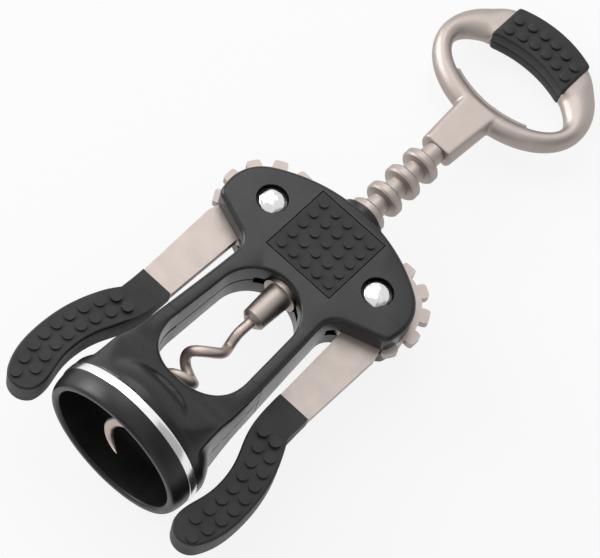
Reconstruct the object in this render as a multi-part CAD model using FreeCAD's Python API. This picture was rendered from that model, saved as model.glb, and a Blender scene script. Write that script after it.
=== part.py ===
import FreeCAD, Part
import math
import os

# Wing corkscrew. The pieces are drawn in a drawing frame: X across the wings, Y along the
# screw axis with the bell's rim at Y = 0 and the handle towards +Y, Z towards the front face.
# The last section lays the finished object on its back, on the plane Z = 0.
# Lengths are in millimetres and angles in degrees.

# ---- driving dimensions ----

# rack and gears: the rings are spaced by one pitch and mesh with both gears
rack_pitch = 6.05
teeth_in_full_gear = 12
pivot_half_span = 15.4
pivot_y = 64.6
ring_radius = 4.5
core_radius = 2.6
ring_width = 2.45
ring_chamfer = 0.35
flank_angle = 14.5
tooth_clearance = 0.3
tooth_backlash = 0.2
tooth_tip_round = 0.6
rings_above_pivot = 6
rings_below_pivot = 2
gear_first_tooth = -30.0
gear_tooth_count = 8

# levers
lever_thickness = 2.2
blade_inner_top_x = 15.3
blade_inner_end_x = 16.0
blade_outer_top_x = 24.5
blade_outer_end_x = 24.0
blade_top_y = 54.6
grip_top_y = 34.0
tang_inset = 1.9
tang_end_y = 4.0
grip_tip = (23.5, -4.9)

# grips
grip_neck_half_thickness = 1.75
grip_half_thickness = 3.2
grip_swell_start_y = 31.0
grip_swell_end_y = 22.0
grip_edge_round = 0.5
grip_knob_radius = 1.28
grip_knob_height = 0.5
grip_knob_pitch = 3.4
grip_outer_line = [(24.1, 27.4), (26.7, 22.4), (28.9, 15.6), (29.7, 8.0), (29.0, 1.2), (27.2, -3.0)]
grip_inner_line = [(16.4, 27.0), (17.6, 21.6), (19.8, 16.2), (20.9, 11.0), (20.7, 6.0), (19.6, 0.8),
                   (19.9, -2.6)]
grip_knob_row_gap = 3.35
grip_first_knob_y = 24.6
grip_bulge_x = 25.55
grip_bulge_y = 8.5
grip_bend_radius = 30.5
grip_outer_knobs = 9
grip_inner_knobs = 8

# frame
head_half_thickness = 6.0
head_top_y = 77.0
head_top_radius = 37.6
lobe_radius = 10.0
lobe_corner_round = 2.4
waist_round = 4.5
waist_x = 12.2
waist_y = 53.1
strut_foot_x = 15.0
strut_foot_y = 9.0
strut_edge_round = 1.1
swell_end_slope = 1.3
window_top_radius = 9.6
window_top_centre_y = 42.9
window_foot_radius = 10.4
window_foot_centre_y = 28.2
window_edge_round = 0.6
parting_groove = 0.5
throat_boss_radius = 5.6
throat_boss_top_y = 78.3
rack_bore_clearance = 0.2
gear_slot_clearance = 0.15
gear_sweep_clearance = 0.4
arch_slot_half_width = 6.5

# bell, its liner and its band
bell_radius = 18.3
rim_inset = 1.2
mouth_radius = 15.5
mouth_chamfer = 0.4
band_proud = 0.2
band_thickness = 0.9
band_edge_chamfer = 0.15
liner_step = 1.0
liner_top_step = 1.2
band_start_y = 4.2
band_end_y = 6.25
stop_y = 9.0
stop_thickness = 1.2
liner_shoulder_y = 9.0
throat_radius = 8.0
dome_shoulder_y = 8.2
dome_waist = (16.2, 12.0)
dome_top_y = 15.8

# square inlays in both faces of the head
inlay_side = 18.0
inlay_centre_y = 65.0
inlay_depth = 0.8
inlay_gap = 0.25
inlay_knob_radius = 1.05
inlay_knob_height = 0.5
inlay_knob_pitch = 3.4
inlay_knobs_per_side = 5

# pivot pins: a headed pin from the front and a cap from the back
pin_radius = 2.0
pin_running_clearance = 0.05
pin_head_radius = 3.2
pin_head_edge = 0.9
pin_head_rise = 1.0
pin_recess_radius = 3.64
pin_recess_depth = 2.6
pin_cap_bore_depth = 0.7

# turning group: handle, spindle, collar and worm
spindle_radius = 1.5
spindle_running_clearance = 0.05
sleeve_end_gap = 0.1
collar_top_y = 52.4
collar_flange_radius = 4.3
collar_flange_thickness = 1.2
collar_top_radius = 3.2
collar_end_radius = 2.8
collar_end_y = 42.2
collar_end_chamfer = 0.9
spindle_seat_in_collar = 5.0
worm_wire_radius = 1.2
worm_seat_in_collar = 2.6
worm_helix_radius = 2.73
worm_pitch = 7.6
worm_offset_x = -1.35
worm_offset_z = 0.28
worm_helix_start_y = 32.5
worm_start_angle = -91.0
worm_first_turn = 0.56
worm_lead_in = [(0, 41.0, 0), (0, 38.4, 0), (0.35, 35.4, -1.45), (0.9, 32.6, 0.4), (-0.4, 30.1, 2.4)]
worm_tip_y = 1.0
worm_taper_turns = 0.4
worm_tip_radius = 0.12
worm_steps_per_turn = 8
worm_tail_steps = 3
neck_end_y = 103.2
neck_end_radius = 4.25
neck_top_radius = 5.0
neck_top_y = 117.5
neck_flat_half_thickness = 3.6
spindle_seat_in_neck = 6.0

# handle ring and its pad
ring_centre_y = 130.3
ring_half_width = 20.8
ring_rise = 17.7
ring_drop = 15.2
ring_half_thickness = 2.8
ring_edge_round = 2.0
eye_corner_round = 2.0
eye_half_width = 15.5
eye_side_y = 128.8
eye_corner_x = 10.2
eye_foot_corner_y = 123.3
eye_foot_y = 121.2
eye_head_corner_y = 134.3
eye_head_y = 136.9
opener_notch_depth = 0.7
opener_notch_width = 1.6
pad_half_width = 10.75
pad_half_thickness = 3.4
pad_far_y = 148.2
pad_far_corner_y = 146.2
pad_near_y = 136.7
pad_near_corner_y = 134.6
pad_corner_round = 0.8
pad_edge_round = 0.6
pad_bar_inset = 2.2
pad_bar_half_thickness = 1.7
pad_knob_radius = 1.28
pad_knob_height = 0.5
pad_knob_pitch = 3.36
pad_knobs_per_row = 6
pad_outer_row_y = 143.95
pad_inner_row_y = 140.2
pad_row_arc_radius = 22.5

# ---- values that follow from them ----

rim_radius = bell_radius - rim_inset
band_radius = bell_radius + band_proud
band_seat_radius = band_radius - band_thickness
liner_outer_radius = band_seat_radius - liner_step
liner_top_radius = liner_outer_radius - liner_top_step
pitch_radius = teeth_in_full_gear * rack_pitch / (2 * math.pi)
gear_tip_radius = pivot_half_span - core_radius - tooth_clearance
gear_root_radius = pivot_half_span - ring_radius - tooth_clearance
gear_tooth_width = rack_pitch - ring_width - tooth_backlash
base_radius = pitch_radius * math.cos(math.radians(flank_angle))
rack_bore_radius = ring_radius + rack_bore_clearance
lever_half = lever_thickness / 2
slot_half = lever_half + gear_slot_clearance
sleeve_foot_y = collar_top_y + sleeve_end_gap
sleeve_top_y = neck_end_y - sleeve_end_gap

Z_AXIS = FreeCAD.Vector(0, 0, 1)
Y_AXIS = FreeCAD.Vector(0, 1, 0)
SCREW_AXIS = (FreeCAD.Vector(0, 0, 0), Y_AXIS)


# ---- drawing helpers ----

def point(x, y, z=0.0):
    return FreeCAD.Vector(x, y, z)


def line(a, b):
    return Part.LineSegment(point(*a), point(*b)).toShape()


def arc(a, via, b):
    return Part.Arc(point(*a), point(*via), point(*b)).toShape()


def curve(points):
    spline = Part.BSplineCurve()
    spline.interpolate([point(*p) for p in points])
    return spline.toShape()


def curve_from_level(points, end_slope):
    """A curve that leaves its first point along -Y and arrives with the given slope."""
    spline = Part.BSplineCurve()
    run = (points[0][1] - points[-1][1])
    spline.interpolate([point(*p) for p in points], InitialTangent=point(0, -run, 0),
                       FinalTangent=point(0, -run, end_slope * run))
    return spline.toShape()


def closed_face(edges):
    return Part.Face(Part.Wire(Part.__sortEdges__(edges)))


def slab(face, low_z, high_z):
    """Extrude a face drawn in the XY plane from low_z to high_z."""
    moved = face.translated(point(0, 0, low_z))
    return moved.extrude(point(0, 0, high_z - low_z))


def turned(profile):
    """Turn a closed list of (radius, y) points about the screw axis."""
    corners = [point(r, y) for r, y in profile]
    face = Part.Face(Part.makePolygon(corners + corners[:1]))
    return face.revolve(SCREW_AXIS[0], SCREW_AXIS[1], 360)


def rod(radius, start_y, end_y):
    return Part.makeCylinder(radius, end_y - start_y, point(0, start_y), Y_AXIS)


def mirrored(shape):
    return shape.mirror(point(0, 0, 0), point(1, 0, 0))


def backed(shape):
    """The same piece on the other face of the object."""
    return shape.mirror(point(0, 0, 0), Z_AXIS)


def upright_edges_near(shape, places, reach=0.2):
    """Edges parallel to Z that pass close to one of the given (x, y) places."""
    found = []
    for edge in shape.Edges:
        box = edge.BoundBox
        if box.XLength > 1e-4 or box.YLength > 1e-4:
            continue
        for x, y in places:
            if math.hypot(box.XMin - x, box.YMin - y) < reach:
                found.append(edge)
                break
    return found


def edges_at_height(shape, height):
    """Edges that lie flat at the given Z."""
    return [e for e in shape.Edges
            if abs(e.BoundBox.ZMin - height) < 1e-3 and abs(e.BoundBox.ZMax - height) < 1e-3]


def knob_field(places, radius, base_z, height):
    """Low round knobs standing on a face at base_z; they start inside it so that they fuse."""
    knobs = [Part.makeCylinder(radius, 2 * height, point(x, y, base_z - height)) for x, y in places]
    return Part.makeCompound(knobs)


# ---- rack: a sleeve of turned rings ----

def ring_heights():
    """Centre of each rack ring; the pivot is level with the middle of a gap."""
    steps = range(-rings_below_pivot, rings_above_pivot)
    return [pivot_y + (k + 0.5) * rack_pitch for k in steps]


def rack_sleeve():
    lean = math.tan(math.radians(flank_angle))
    pitch_line = pivot_half_span - pitch_radius
    tip_half = ring_width / 2 - (ring_radius - pitch_line) * lean
    root_half = ring_width / 2 + (pitch_line - core_radius) * lean
    shoulder_radius = ring_radius - ring_chamfer
    shoulder_half = tip_half + ring_chamfer * lean
    bore = spindle_radius + spindle_running_clearance
    profile = [(bore, sleeve_foot_y), (core_radius, sleeve_foot_y)]
    for y in ring_heights():
        profile += [(core_radius, y - root_half), (shoulder_radius, y - shoulder_half)]
        profile += [(ring_radius, y - tip_half + ring_chamfer), (ring_radius, y + tip_half - ring_chamfer)]
        profile += [(shoulder_radius, y + shoulder_half), (core_radius, y + root_half)]
    profile += [(core_radius, sleeve_top_y), (bore, sleeve_top_y)]
    return turned(profile)


# ---- levers: gear sector, blade and tang in one plate ----

def involute(angle):
    return math.tan(angle) - angle


def tooth_half_angle(radius):
    """Half the angle that a gear tooth spans at the given radius, in radians."""
    at_pitch = gear_tooth_width / (2 * pitch_radius)
    pressure = math.acos(base_radius / max(radius, base_radius))
    return at_pitch + involute(math.radians(flank_angle)) - involute(pressure)


def polar(radius, angle):
    """A point of the right-hand gear, by radius and angle in radians."""
    return (pivot_half_span + radius * math.cos(angle), pivot_y + radius * math.sin(angle))


def tooth_centres():
    step = 360.0 / teeth_in_full_gear
    return [math.radians(gear_first_tooth + step * k) for k in range(gear_tooth_count)]


def gear_sector():
    """Edges of the toothed arc, from the first tooth's outer flank to past the last tooth."""
    flank_radii = [base_radius, (base_radius + gear_tip_radius) / 2, gear_tip_radius]
    edges = []
    previous = None
    for centre in tooth_centres():
        wide = tooth_half_angle(base_radius)
        rise = [polar(r, centre - tooth_half_angle(r)) for r in flank_radii]
        fall = [polar(r, centre + tooth_half_angle(r)) for r in reversed(flank_radii)]
        root_in = polar(gear_root_radius, centre - wide)
        root_out = polar(gear_root_radius, centre + wide)
        if previous is not None:
            middle = polar(gear_root_radius, centre - math.pi / teeth_in_full_gear)
            edges.append(arc(previous, middle, root_in))
        edges += [line(root_in, rise[0]), curve(rise)]
        edges.append(arc(rise[-1], polar(gear_tip_radius, centre), fall[0]))
        edges += [curve(fall), line(fall[-1], root_out)]
        previous = root_out
    return edges, previous


def tooth_tip_places():
    spread = tooth_half_angle(gear_tip_radius)
    return [polar(gear_tip_radius, c + side * spread) for c in tooth_centres() for side in (-1, 1)]


def grip_centre_x(y):
    """Middle of the curved grip at height y."""
    return grip_bulge_x - (y - grip_bulge_y) ** 2 / (2 * grip_bend_radius)


def grip_sides():
    """Outer and inner edge of the curved grip, from the blade down to the tip."""
    outer = [(blade_outer_end_x, grip_top_y)] + grip_outer_line
    inner = [(blade_inner_end_x, grip_top_y)] + grip_inner_line
    return outer, inner


def grip_outline():
    outer, inner = grip_sides()
    edges = [line(outer[0], outer[1]), curve(outer[1:]), arc(outer[-1], grip_tip, inner[-1])]
    edges += [curve(inner), line(inner[0], outer[0])]
    return closed_face(edges)


def tang_outline():
    """Part of the lever inside the grip: the grip's own curve, drawn in by one wall."""
    outer, inner = grip_sides()
    outer = [(x - tang_inset, y) for x, y in outer if y > tang_end_y]
    inner = [(x + tang_inset, y) for x, y in inner if y > tang_end_y]
    edges = [line(outer[0], outer[1]), curve(outer[1:]), line(outer[-1], inner[-1])]
    edges += [curve(inner), line(inner[0], outer[0])]
    return closed_face(edges)


def lever_plate():
    edges, sector_end = gear_sector()
    first = tooth_centres()[0] - tooth_half_angle(base_radius)
    sector_start = polar(gear_root_radius, first)
    hub_end = (blade_inner_top_x, pivot_y - gear_root_radius)
    hub_via = polar(gear_root_radius, math.radians(230))
    edges.append(arc(sector_end, hub_via, hub_end))
    edges.append(line(hub_end, (blade_inner_end_x, grip_top_y)))
    edges.append(line((blade_inner_end_x, grip_top_y), (blade_outer_end_x, grip_top_y)))
    edges.append(line((blade_outer_end_x, grip_top_y), (blade_outer_top_x, blade_top_y)))
    edges.append(line((blade_outer_top_x, blade_top_y), sector_start))
    plate = slab(closed_face(edges), -lever_half, lever_half)
    plate = plate.makeFillet(tooth_tip_round, upright_edges_near(plate, tooth_tip_places()))
    tang = slab(tang_outline(), -lever_half, lever_half)
    hole = Part.makeCylinder(pin_radius + pin_running_clearance, 20, point(pivot_half_span, pivot_y, -10))
    return plate.fuse(tang).removeSplitter().cut(hole)


def grip_thickness_profile():
    """Side outline of the front half: thin at the blade, full under the knobs."""
    low, high = -20.0, grip_top_y + 5
    top = [(0, low, 0), (0, low, grip_half_thickness), (0, grip_swell_end_y, grip_half_thickness)]
    top += [(0, grip_swell_start_y, grip_neck_half_thickness), (0, high, grip_neck_half_thickness)]
    top += [(0, high, 0)]
    corners = [point(*p) for p in top]
    face = Part.Face(Part.makePolygon(corners + corners[:1]))
    return face.extrude(point(60, 0, 0))


def grip_knob_places():
    places = []
    for k in range(grip_outer_knobs):
        y = grip_first_knob_y - k * grip_knob_pitch
        centre = grip_centre_x(y)
        places.append((centre + grip_knob_row_gap / 2, y))
        if k < grip_inner_knobs:
            places.append((centre - grip_knob_row_gap / 2, y))
    return places


def grip_front(plate):
    half = slab(grip_outline(), 0, grip_half_thickness).common(grip_thickness_profile())
    half = half.makeFillet(grip_edge_round, edges_at_height(half, grip_half_thickness))
    knobs = knob_field(grip_knob_places(), grip_knob_radius, grip_half_thickness, grip_knob_height)
    return half.fuse(knobs.Solids).removeSplitter().cut(plate)


# ---- frame: two half shells that carry the pivots and form the bell ----

def head_outline():
    """Plan outline of the head and the two struts."""
    lobe_y = math.sqrt((head_top_radius - lobe_radius) ** 2 - pivot_half_span ** 2)
    lobe_y += head_top_y - head_top_radius
    away = math.atan2(lobe_y - (head_top_y - head_top_radius), pivot_half_span)
    reach = lobe_radius
    shoulder = (pivot_half_span + reach * math.cos(away), lobe_y + reach * math.sin(away))
    side = (pivot_half_span + reach, lobe_y)
    flank_end = (pivot_half_span + reach * math.cos(-0.14), lobe_y + reach * math.sin(-0.14))
    corner = (flank_end[0] - 0.55, flank_end[1] - 3.25)
    foot = (strut_foot_x, strut_foot_y)
    waist = (waist_x, waist_y)
    half = [arc(shoulder, side, flank_end), line(flank_end, corner), line(corner, waist), line(waist, foot)]
    edges = half + [mirrored(e) for e in half]
    edges.append(arc((-shoulder[0], shoulder[1]), (0, head_top_y), shoulder))
    edges.append(line((-foot[0], foot[1]), foot))
    return closed_face(edges), corner, waist


def side_profile():
    """Thickness of the frame along the screw axis, swelling from the struts into the bell."""
    head_end = head_top_y + 5
    swell = [(0, 47.0, head_half_thickness), (0, 36.0, 6.5), (0, 26.0, 7.5), (0, 19.5, 9.4), (0, 14.5, 12.6),
             (0, strut_foot_y, 15.6)]
    top = [line((0, head_end, head_half_thickness), swell[0]), curve_from_level(swell, swell_end_slope)]
    base = [line(swell[-1], (0, strut_foot_y, 0)), line((0, strut_foot_y, 0), (0, head_end, 0))]
    half = closed_face(top + base + [line((0, head_end, 0), (0, head_end, head_half_thickness))])
    width = 2 * (pivot_half_span + lobe_radius) + 4
    solid = half.translated(point(-width / 2, 0, 0)).extrude(point(width, 0, 0))
    return solid


def bell_dome():
    """Upper part of the bell: a turned cap with the worm's throat through its top."""
    shoulder = (bell_radius, dome_shoulder_y)
    outer = [line((bell_radius, band_end_y), shoulder),
             arc(shoulder, dome_waist, (throat_radius, dome_top_y))]
    seat_y = stop_y + stop_thickness
    inner = [line((throat_radius, dome_top_y), (throat_radius, seat_y)),
             line((throat_radius, seat_y), (liner_top_radius, seat_y)),
             line((liner_top_radius, seat_y), (liner_outer_radius, liner_shoulder_y)),
             line((liner_outer_radius, liner_shoulder_y), (liner_outer_radius, band_end_y)),
             line((liner_outer_radius, band_end_y), (bell_radius, band_end_y))]
    return closed_face(outer + inner).revolve(SCREW_AXIS[0], SCREW_AXIS[1], 360)


def liner_seat():
    """Space inside the bell that the liner fills."""
    seat_y = stop_y + stop_thickness
    return turned([(0, 0), (liner_outer_radius, 0), (liner_outer_radius, liner_shoulder_y),
                   (liner_top_radius, seat_y), (0, seat_y)])


def window_face(grow=0.0):
    top_r = window_top_radius + grow
    foot_r = window_foot_radius + grow
    top_y, foot_y = window_top_centre_y, window_foot_centre_y
    lean = math.asin((window_foot_radius - window_top_radius) / (top_y - foot_y))
    top_x, top_rise = top_r * math.cos(lean), top_r * math.sin(lean)
    foot_x, foot_rise = foot_r * math.cos(lean), foot_r * math.sin(lean)
    right_top, right_foot = (top_x, top_y + top_rise), (foot_x, foot_y + foot_rise)
    left_top, left_foot = (-top_x, top_y + top_rise), (-foot_x, foot_y + foot_rise)
    edges = [arc(right_top, (0, top_y + top_r), left_top), line(left_top, left_foot)]
    edges += [arc(left_foot, (0, foot_y - foot_r), right_foot), line(right_foot, right_top)]
    return closed_face(edges)


def within_window(edge):
    box = edge.BoundBox
    reach = window_foot_radius + 0.1
    low_y = window_foot_centre_y - window_foot_radius - 0.1
    high_y = window_top_centre_y + window_top_radius + 0.1
    return box.XMin > -reach and box.XMax < reach and box.YMin > low_y and box.YMax < high_y


def inlay_recess():
    side = inlay_side + 2 * inlay_gap
    low_y = inlay_centre_y - side / 2
    return Part.makeBox(side, side, inlay_depth, point(-side / 2, low_y, head_half_thickness - inlay_depth))


def frame_half():
    """Front half of the frame; the back half is its mirror image."""
    face, corner, waist = head_outline()
    plan = slab(face, -1, 30)
    corners = [(s * x, y) for x, y in (corner,) for s in (1, -1)]
    waists = [(s * x, y) for x, y in (waist,) for s in (1, -1)]
    plan = plan.makeFillet(lobe_corner_round, upright_edges_near(plan, corners))
    plan = plan.makeFillet(waist_round, upright_edges_near(plan, waists))
    half = plan.common(side_profile())
    rims = [e for e in half.Edges if e.BoundBox.ZMin > head_half_thickness - 0.01
            and e.BoundBox.YMax > strut_foot_y + 1 and e.BoundBox.XLength < 2 * pivot_half_span + 30
            and abs(e.BoundBox.YMin - 47.0) + e.BoundBox.YLength > 0.01]
    half = half.makeFillet(strut_edge_round, rims)
    half = half.cut(slab(window_face(), -2, 30))
    inner_rim = [e for e in half.Edges if e.BoundBox.ZMin > head_half_thickness - 1 and within_window(e)]
    half = half.makeFillet(window_edge_round, inner_rim)
    bell_limit = Part.makeCylinder(bell_radius, 20, point(0, strut_foot_y), Y_AXIS)
    above = Part.makeBox(80, 80, 40, point(-40, strut_foot_y + 20, -1))
    half = half.common(bell_limit.fuse(above))
    boss = rod(throat_boss_radius, pivot_y + 6, throat_boss_top_y)
    front = Part.makeBox(80, 200, 40, point(-40, -20, 0))
    half = half.fuse([bell_dome().common(front), boss.common(front)])
    half = half.cut(slab(window_face(parting_groove), -1, parting_groove / 2))
    half = half.cut(rod(rack_bore_radius, window_top_centre_y, throat_boss_top_y + 1))
    half = half.cut(rod(throat_radius, 0, window_foot_centre_y))
    half = half.cut(liner_seat())
    sweep = gear_tip_radius + gear_sweep_clearance
    cuts = [inlay_recess()]
    for side in (-1, 1):
        centre = point(side * pivot_half_span, pivot_y, 0)
        cuts.append(Part.makeCylinder(sweep, slot_half, centre))
        cuts.append(Part.makeCylinder(pin_radius, head_half_thickness, centre))
        recess = centre + point(0, 0, head_half_thickness - pin_recess_depth)
        cuts.append(Part.makeCylinder(pin_recess_radius, pin_recess_depth, recess))
    slot_width = 2 * arch_slot_half_width
    slot_corner = point(-arch_slot_half_width, window_top_centre_y + 6)
    cuts.append(Part.makeBox(slot_width, 12, slot_half, slot_corner))
    return half.cut(cuts)


def inlay():
    low_y = inlay_centre_y - inlay_side / 2
    floor_z = head_half_thickness - inlay_depth
    pad = Part.makeBox(inlay_side, inlay_side, inlay_depth, point(-inlay_side / 2, low_y, floor_z))
    reach = (inlay_knobs_per_side - 1) / 2
    steps = [(k - reach) * inlay_knob_pitch for k in range(inlay_knobs_per_side)]
    places = [(x, inlay_centre_y + y) for x in steps for y in steps]
    height = min(inlay_knob_height, inlay_depth)
    knobs = knob_field(places, inlay_knob_radius, head_half_thickness, height)
    return pad.fuse(knobs.Solids).removeSplitter()


def bell_liner():
    lip = rim_radius - mouth_radius - mouth_chamfer
    seat_y = stop_y + stop_thickness
    flange_radius = bell_radius - 0.1
    profile = [(mouth_radius, mouth_chamfer), (rim_radius - lip, 0), (rim_radius, 0),
               (flange_radius - 0.45, 0.7), (flange_radius, 2.0), (flange_radius, band_start_y),
               (band_seat_radius, band_start_y), (band_seat_radius, band_end_y),
               (liner_outer_radius, band_end_y), (liner_outer_radius, liner_shoulder_y),
               (liner_top_radius, seat_y), (throat_radius, seat_y),
               (throat_radius, stop_y), (mouth_radius, stop_y)]
    return turned(profile)


def bell_band():
    edge_radius = band_radius - band_edge_chamfer
    edge_start_y = band_start_y + band_edge_chamfer
    edge_end_y = band_end_y - band_edge_chamfer
    return turned([(band_seat_radius, band_start_y), (edge_radius, band_start_y),
                   (band_radius, edge_start_y), (band_radius, edge_end_y),
                   (edge_radius, band_end_y), (band_seat_radius, band_end_y)])


# ---- pivot pins ----

def pin_head():
    """Low domed head that sits on the floor of the recess in the front face."""
    floor_z = head_half_thickness - pin_recess_depth
    top_z = floor_z + pin_head_edge + pin_head_rise
    dome_radius = (pin_head_radius ** 2 + pin_head_rise ** 2) / (2 * pin_head_rise)
    blank = Part.makeCylinder(pin_head_radius, top_z - floor_z, point(0, 0, floor_z))
    head = blank.common(Part.makeSphere(dome_radius, point(0, 0, top_z - dome_radius)))
    return head.translated(point(pivot_half_span, pivot_y))


def pivot_pin():
    length = 2 * (head_half_thickness - pin_recess_depth) + pin_cap_bore_depth
    start = point(pivot_half_span, pivot_y, -length / 2 - pin_cap_bore_depth / 2)
    return pin_head().fuse(Part.makeCylinder(pin_radius, length, start)).removeSplitter()


def pivot_cap():
    floor_z = head_half_thickness - pin_recess_depth
    start = point(pivot_half_span, pivot_y, -floor_z - pin_cap_bore_depth)
    return backed(pin_head()).cut(Part.makeCylinder(pin_radius, pin_cap_bore_depth, start))


# ---- turning group ----

def spindle():
    return rod(spindle_radius, collar_top_y - spindle_seat_in_collar, neck_end_y + spindle_seat_in_neck)


def worm_collar():
    flange_y = collar_top_y - collar_flange_thickness
    body = turned([(0, collar_end_y), (collar_end_radius - collar_end_chamfer, collar_end_y),
                   (collar_end_radius, collar_end_y + collar_end_chamfer), (collar_top_radius, flange_y),
                   (collar_flange_radius, flange_y), (collar_flange_radius, collar_top_y),
                   (0, collar_top_y)])
    seat = rod(spindle_radius, collar_top_y - spindle_seat_in_collar, collar_top_y)
    socket = rod(worm_wire_radius, collar_end_y, collar_end_y + worm_seat_in_collar)
    return body.cut([seat, socket])


def worm_place(turn):
    """Point of the helix after the given number of turns."""
    angle = math.radians(worm_start_angle) + 2 * math.pi * turn
    x = worm_offset_x + worm_helix_radius * math.cos(angle)
    z = worm_offset_z + worm_helix_radius * math.sin(angle)
    return point(x, worm_helix_start_y - worm_pitch * turn, z)


def worm_stretch(first, last, count):
    return [worm_place(first + (last - first) * k / count) for k in range(count + 1)]


def worm():
    last = (worm_helix_start_y - worm_tip_y) / worm_pitch
    taper = last - worm_taper_turns
    seat_y = collar_end_y + worm_seat_in_collar
    shaft_steps = int(round((taper - worm_first_turn) * worm_steps_per_turn))
    path = [point(0, seat_y), point(0, collar_end_y)] + [point(*p) for p in worm_lead_in]
    path += worm_stretch(worm_first_turn, taper, shaft_steps)
    path += worm_stretch(taper, last, worm_tail_steps)[1:]
    spline = Part.BSplineCurve()
    spline.interpolate(path)
    start, end = spline.FirstParameter, spline.LastParameter
    split = spline.parameter(worm_place(taper))

    def section(parameter, radius):
        along = spline.tangent(parameter)[0]
        return Part.Wire(Part.makeCircle(radius, spline.value(parameter), along))

    shaft_line, tail_line = spline.copy(), spline.copy()
    shaft_line.segment(start, split)
    tail_line.segment(split, end)
    shaft = Part.Wire(shaft_line.toShape()).makePipeShell([section(start, worm_wire_radius)], True, False)
    ends = [section(split, worm_wire_radius), section(end, worm_tip_radius)]
    tail = Part.Wire(tail_line.toShape()).makePipeShell(ends, True, False)
    return shaft.fuse(tail)


def ring_outline():
    """Outer outline of the handle ring: two half ellipses of one width."""
    centre = point(0, ring_centre_y)
    halves = []
    for height, start in ((ring_rise, 0), (ring_drop, 180)):
        if height <= ring_half_width:
            ellipse = Part.Ellipse(centre, ring_half_width, height)
            halves.append(ellipse.toShape(math.radians(start), math.radians(start + 180)))
    return closed_face(halves)


def eye_block(half_thickness):
    """Opening of the handle ring, which also lifts crown caps with its lower ledge."""
    foot_r, foot_l = (eye_corner_x, eye_foot_corner_y), (-eye_corner_x, eye_foot_corner_y)
    head_r, head_l = (eye_corner_x, eye_head_corner_y), (-eye_corner_x, eye_head_corner_y)
    edges = [arc(foot_r, (eye_half_width, eye_side_y), head_r), arc(head_r, (0, eye_head_y), head_l),
             arc(head_l, (-eye_half_width, eye_side_y), foot_l), arc(foot_l, (0, eye_foot_y), foot_r)]
    block = slab(closed_face(edges), -half_thickness, half_thickness)
    corners = [foot_r, foot_l, head_r, head_l]
    return block.makeFillet(eye_corner_round, upright_edges_near(block, corners))


def ring_block(half_thickness, edge_round):
    """The whole ring as one plate with rounded rims."""
    plate = slab(ring_outline(), -half_thickness, half_thickness).cut(eye_block(half_thickness))
    rims = edges_at_height(plate, half_thickness) + edges_at_height(plate, -half_thickness)
    return plate.makeFillet(edge_round, rims)


def pad_envelope():
    """Block that takes the stretch of ring under the pad."""
    span = ring_rise + 10
    return Part.makeBox(2 * pad_half_width, span, 20, point(-pad_half_width, eye_foot_y + 6, -10))


def handle():
    plate = ring_block(ring_half_thickness, ring_edge_round)
    bar = plate.common(pad_envelope())
    outer_shift = point(0, -pad_bar_inset)
    inner_shift = point(0, pad_bar_inset)
    thin = Part.makeBox(80, 80, 2 * pad_bar_half_thickness, point(-40, 100, -pad_bar_half_thickness))
    core = bar.common(bar.translated(outer_shift)).common(bar.translated(inner_shift)).common(thin)
    neck = turned([(0, neck_end_y), (neck_end_radius - 0.4, neck_end_y), (neck_end_radius, neck_end_y + 0.4),
                   (neck_top_radius, neck_top_y), (0, neck_top_y)])
    flats = Part.makeBox(40, 40, 2 * neck_flat_half_thickness, point(-20, 90, -neck_flat_half_thickness))
    socket = rod(spindle_radius, neck_end_y, neck_end_y + spindle_seat_in_neck)
    notches = []
    for side in (-1, 1):
        x = side * (eye_corner_x + opener_notch_width / 2) - opener_notch_width / 2
        notches.append(Part.makeBox(opener_notch_width, 2 * opener_notch_depth, 20,
                                    point(x, eye_foot_corner_y - opener_notch_depth, -10)))
    body = plate.cut(pad_envelope()).fuse([core, neck.common(flats)])
    return body.cut([socket] + notches)


def handle_pad(handle_body):
    far_r, far_l = (pad_half_width, pad_far_corner_y), (-pad_half_width, pad_far_corner_y)
    near_r, near_l = (pad_half_width, pad_near_corner_y), (-pad_half_width, pad_near_corner_y)
    edges = [arc(far_r, (0, pad_far_y), far_l), line(far_l, near_l), arc(near_l, (0, pad_near_y), near_r),
             line(near_r, far_r)]
    block = slab(closed_face(edges), -pad_half_thickness, pad_half_thickness)
    corners = [far_r, far_l, near_r, near_l]
    block = block.makeFillet(pad_corner_round, upright_edges_near(block, corners))
    rims = edges_at_height(block, pad_half_thickness) + edges_at_height(block, -pad_half_thickness)
    block = block.makeFillet(pad_edge_round, rims)
    places = []
    for row_y in (pad_outer_row_y, pad_inner_row_y):
        for k in range(pad_knobs_per_row):
            x = (k - (pad_knobs_per_row - 1) / 2) * pad_knob_pitch
            drop = pad_row_arc_radius - math.sqrt(pad_row_arc_radius ** 2 - x ** 2)
            places.append((x, row_y - drop))
    knobs = knob_field(places, pad_knob_radius, pad_half_thickness, pad_knob_height)
    return block.fuse(knobs.Solids).removeSplitter().cut(handle_body)


# ---- the whole object, in the drawing frame ----

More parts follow.
